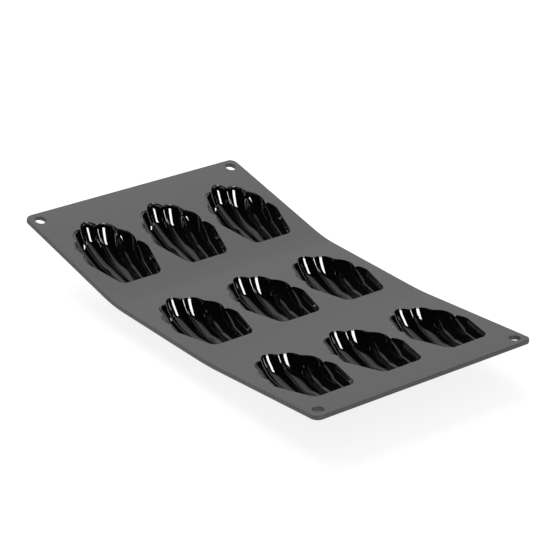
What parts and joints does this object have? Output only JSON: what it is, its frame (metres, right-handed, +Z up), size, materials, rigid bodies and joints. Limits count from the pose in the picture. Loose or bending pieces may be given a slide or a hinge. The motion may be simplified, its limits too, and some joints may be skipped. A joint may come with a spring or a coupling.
{
  "type": "madeleine mould",
  "caption": "Flexible sheet mould for shell-shaped madeleines, with rows of fluted scalloped cavities and a hanging hole in each corner.",
  "frame": {"origin": "on the surface that the mould rests on, below the middle of the sheet's box", "axes": "+X from the raised rear edge to the front edge, where the straight ends of the cavities point; +Y across the sheet; +Z up"},
  "size_m": [0.2984, 0.1754, 0.0401],
  "materials": {
    "deck_silicone": "matt grey silicone, fine even grain",
    "cup_silicone": "the same silicone, glossy and near black inside the cavities"
  },
  "bodies": {
    "middle_band": {"middle_deck": "deck_silicone", "rear_web": "deck_silicone", "front_web": "deck_silicone", "cup_middle_left": "cup_silicone", "cup_middle_centre": "cup_silicone", "cup_middle_right": "cup_silicone"},
    "rear_band": {"rear_deck": "deck_silicone", "cup_rear_left": "cup_silicone", "cup_rear_centre": "cup_silicone", "cup_rear_right": "cup_silicone"},
    "front_band": {"front_deck": "deck_silicone", "cup_front_left": "cup_silicone", "cup_front_centre": "cup_silicone", "cup_front_right": "cup_silicone"}
  },
  "joints": [
    {"name": "rear_flex", "type": "hinge", "parent": "middle_band", "child": "rear_band", "pos_m": [-0.04849, 0, 0.0173], "axis": [0, 1, 0], "range_deg": [-90, 90], "stiffness_Nm_per_rad": 0.06, "springref_deg": 32.46, "deforming": ["rear_web"]},
    {"name": "front_flex", "type": "hinge", "parent": "middle_band", "child": "front_band", "pos_m": [0.04685, 0, 0.0173], "axis": [0, -1, 0], "range_deg": [-90, 90], "stiffness_Nm_per_rad": 0.06, "springref_deg": 33.39, "deforming": ["front_web"]}
  ]
}
